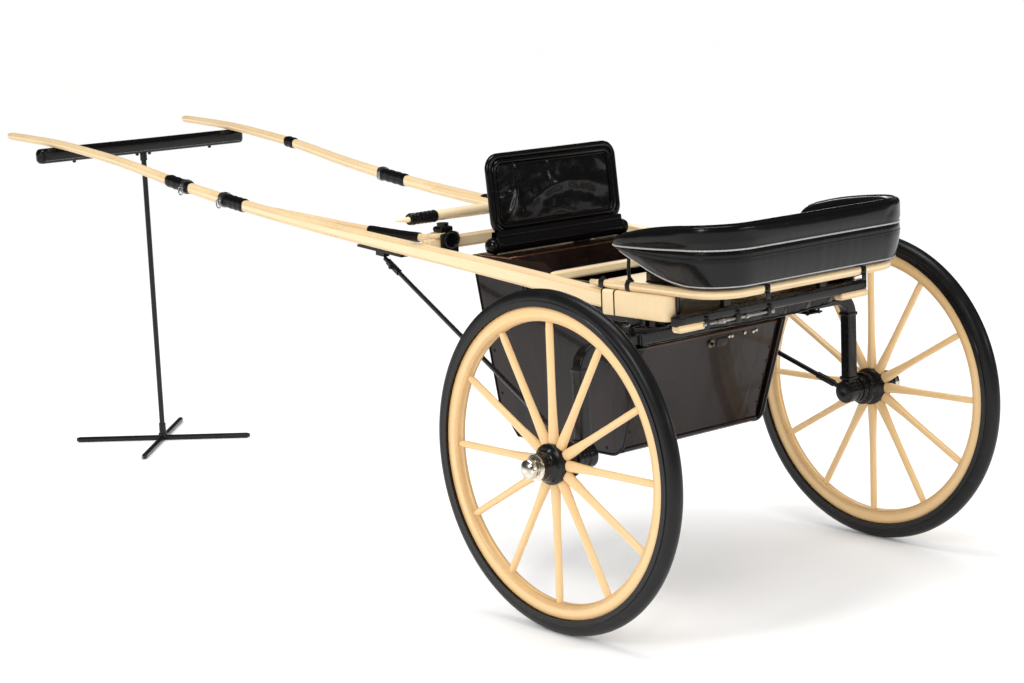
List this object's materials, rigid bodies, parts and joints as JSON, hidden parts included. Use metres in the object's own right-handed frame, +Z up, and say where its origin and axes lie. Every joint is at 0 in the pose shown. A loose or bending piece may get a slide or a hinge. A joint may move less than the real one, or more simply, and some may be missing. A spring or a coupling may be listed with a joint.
{
  "type": "two-wheeled horse cart",
  "caption": "Two-wheeled cart with long bent shafts, arched axle, low foot well, padded dash and wrap-round seat, parked with its shaft tips on a T stand.",
  "frame": {"origin": "on the ground, on the middle line, half-way along the cart", "axes": "+Y forward towards the shaft tips, +X the cart's right side along the axle, +Z up"},
  "size_m": [1.688, 4.1699, 1.3572],
  "materials": {
    "cream_wood": "glossy enamelled cream wood",
    "black_iron": "black painted iron, semi-gloss",
    "tyre_rubber": "black rubber, satin",
    "black_leather": "black patent leather",
    "dark_enamel": "very dark brown gloss enamel",
    "nickel": "polished nickel plate"
  },
  "bodies": {
    "chassis": {"left_shaft": "cream_wood", "right_shaft": "cream_wood", "shaft_blocks": "cream_wood", "block_plates": "black_iron", "rear_bar": "black_iron", "rear_deck": "dark_enamel", "front_crossbar": "cream_wood", "crossbar_braces": "cream_wood", "singletree_bolt": "black_iron", "singletree_rests": "black_iron", "shaft_irons": "black_iron", "axle_stays": "black_iron", "axle": "black_iron", "axle_cranks": "black_iron", "axle_posts": "black_iron", "axle_stubs": "black_iron", "left_spring": "black_iron", "right_spring": "black_iron", "spring_hangers": "black_iron", "body_left_side": "dark_enamel", "body_right_side": "dark_enamel", "body_floor": "dark_enamel", "body_front_panel": "dark_enamel", "dash_cowl": "dark_enamel", "body_irons": "black_iron", "door_pin": "black_iron", "dash_frame": "black_leather", "dash_panel": "black_leather", "dash_roll": "black_leather", "seat_crossbar": "cream_wood", "seat_rail": "cream_wood", "rail_brackets": "black_iron", "seat_board": "cream_wood", "seat_cushion": "black_leather", "seat_back": "black_leather", "arm_irons": "black_iron", "stand_crossbar": "black_leather", "stand_pole": "black_iron", "stand_foot": "black_iron"},
    "left_wheel": {"left_tyre": "tyre_rubber", "left_channel": "black_iron", "left_felloe": "cream_wood", "left_spokes": "cream_wood", "left_hub": "black_iron", "left_cap": "nickel"},
    "right_wheel": {"right_tyre": "tyre_rubber", "right_channel": "black_iron", "right_felloe": "cream_wood", "right_spokes": "cream_wood", "right_hub": "black_iron", "right_cap": "nickel"},
    "singletree": {"singletree": "cream_wood"},
    "rear_door": {"rear_door": "dark_enamel", "door_latch": "nickel"}
  },
  "joints": [
    {"name": "left_wheel_spin", "type": "hinge", "parent": "chassis", "child": "left_wheel", "pos_m": [-0.723, -1.565, 0.52], "axis": [1, 0, 0], "continuous": true},
    {"name": "right_wheel_spin", "type": "hinge", "parent": "chassis", "child": "right_wheel", "pos_m": [0.723, -1.565, 0.52], "axis": [1, 0, 0], "continuous": true},
    {"name": "singletree_swing", "type": "hinge", "parent": "chassis", "child": "singletree", "pos_m": [0, -0.58, 1.14792], "axis": [0, 0, 1], "range_deg": [-12, 12]},
    {"name": "rear_door_drop", "type": "hinge", "parent": "chassis", "child": "rear_door", "pos_m": [0, -1.41383, 0.464], "axis": [1, 0, 0], "range_deg": [0, 72]}
  ]
}
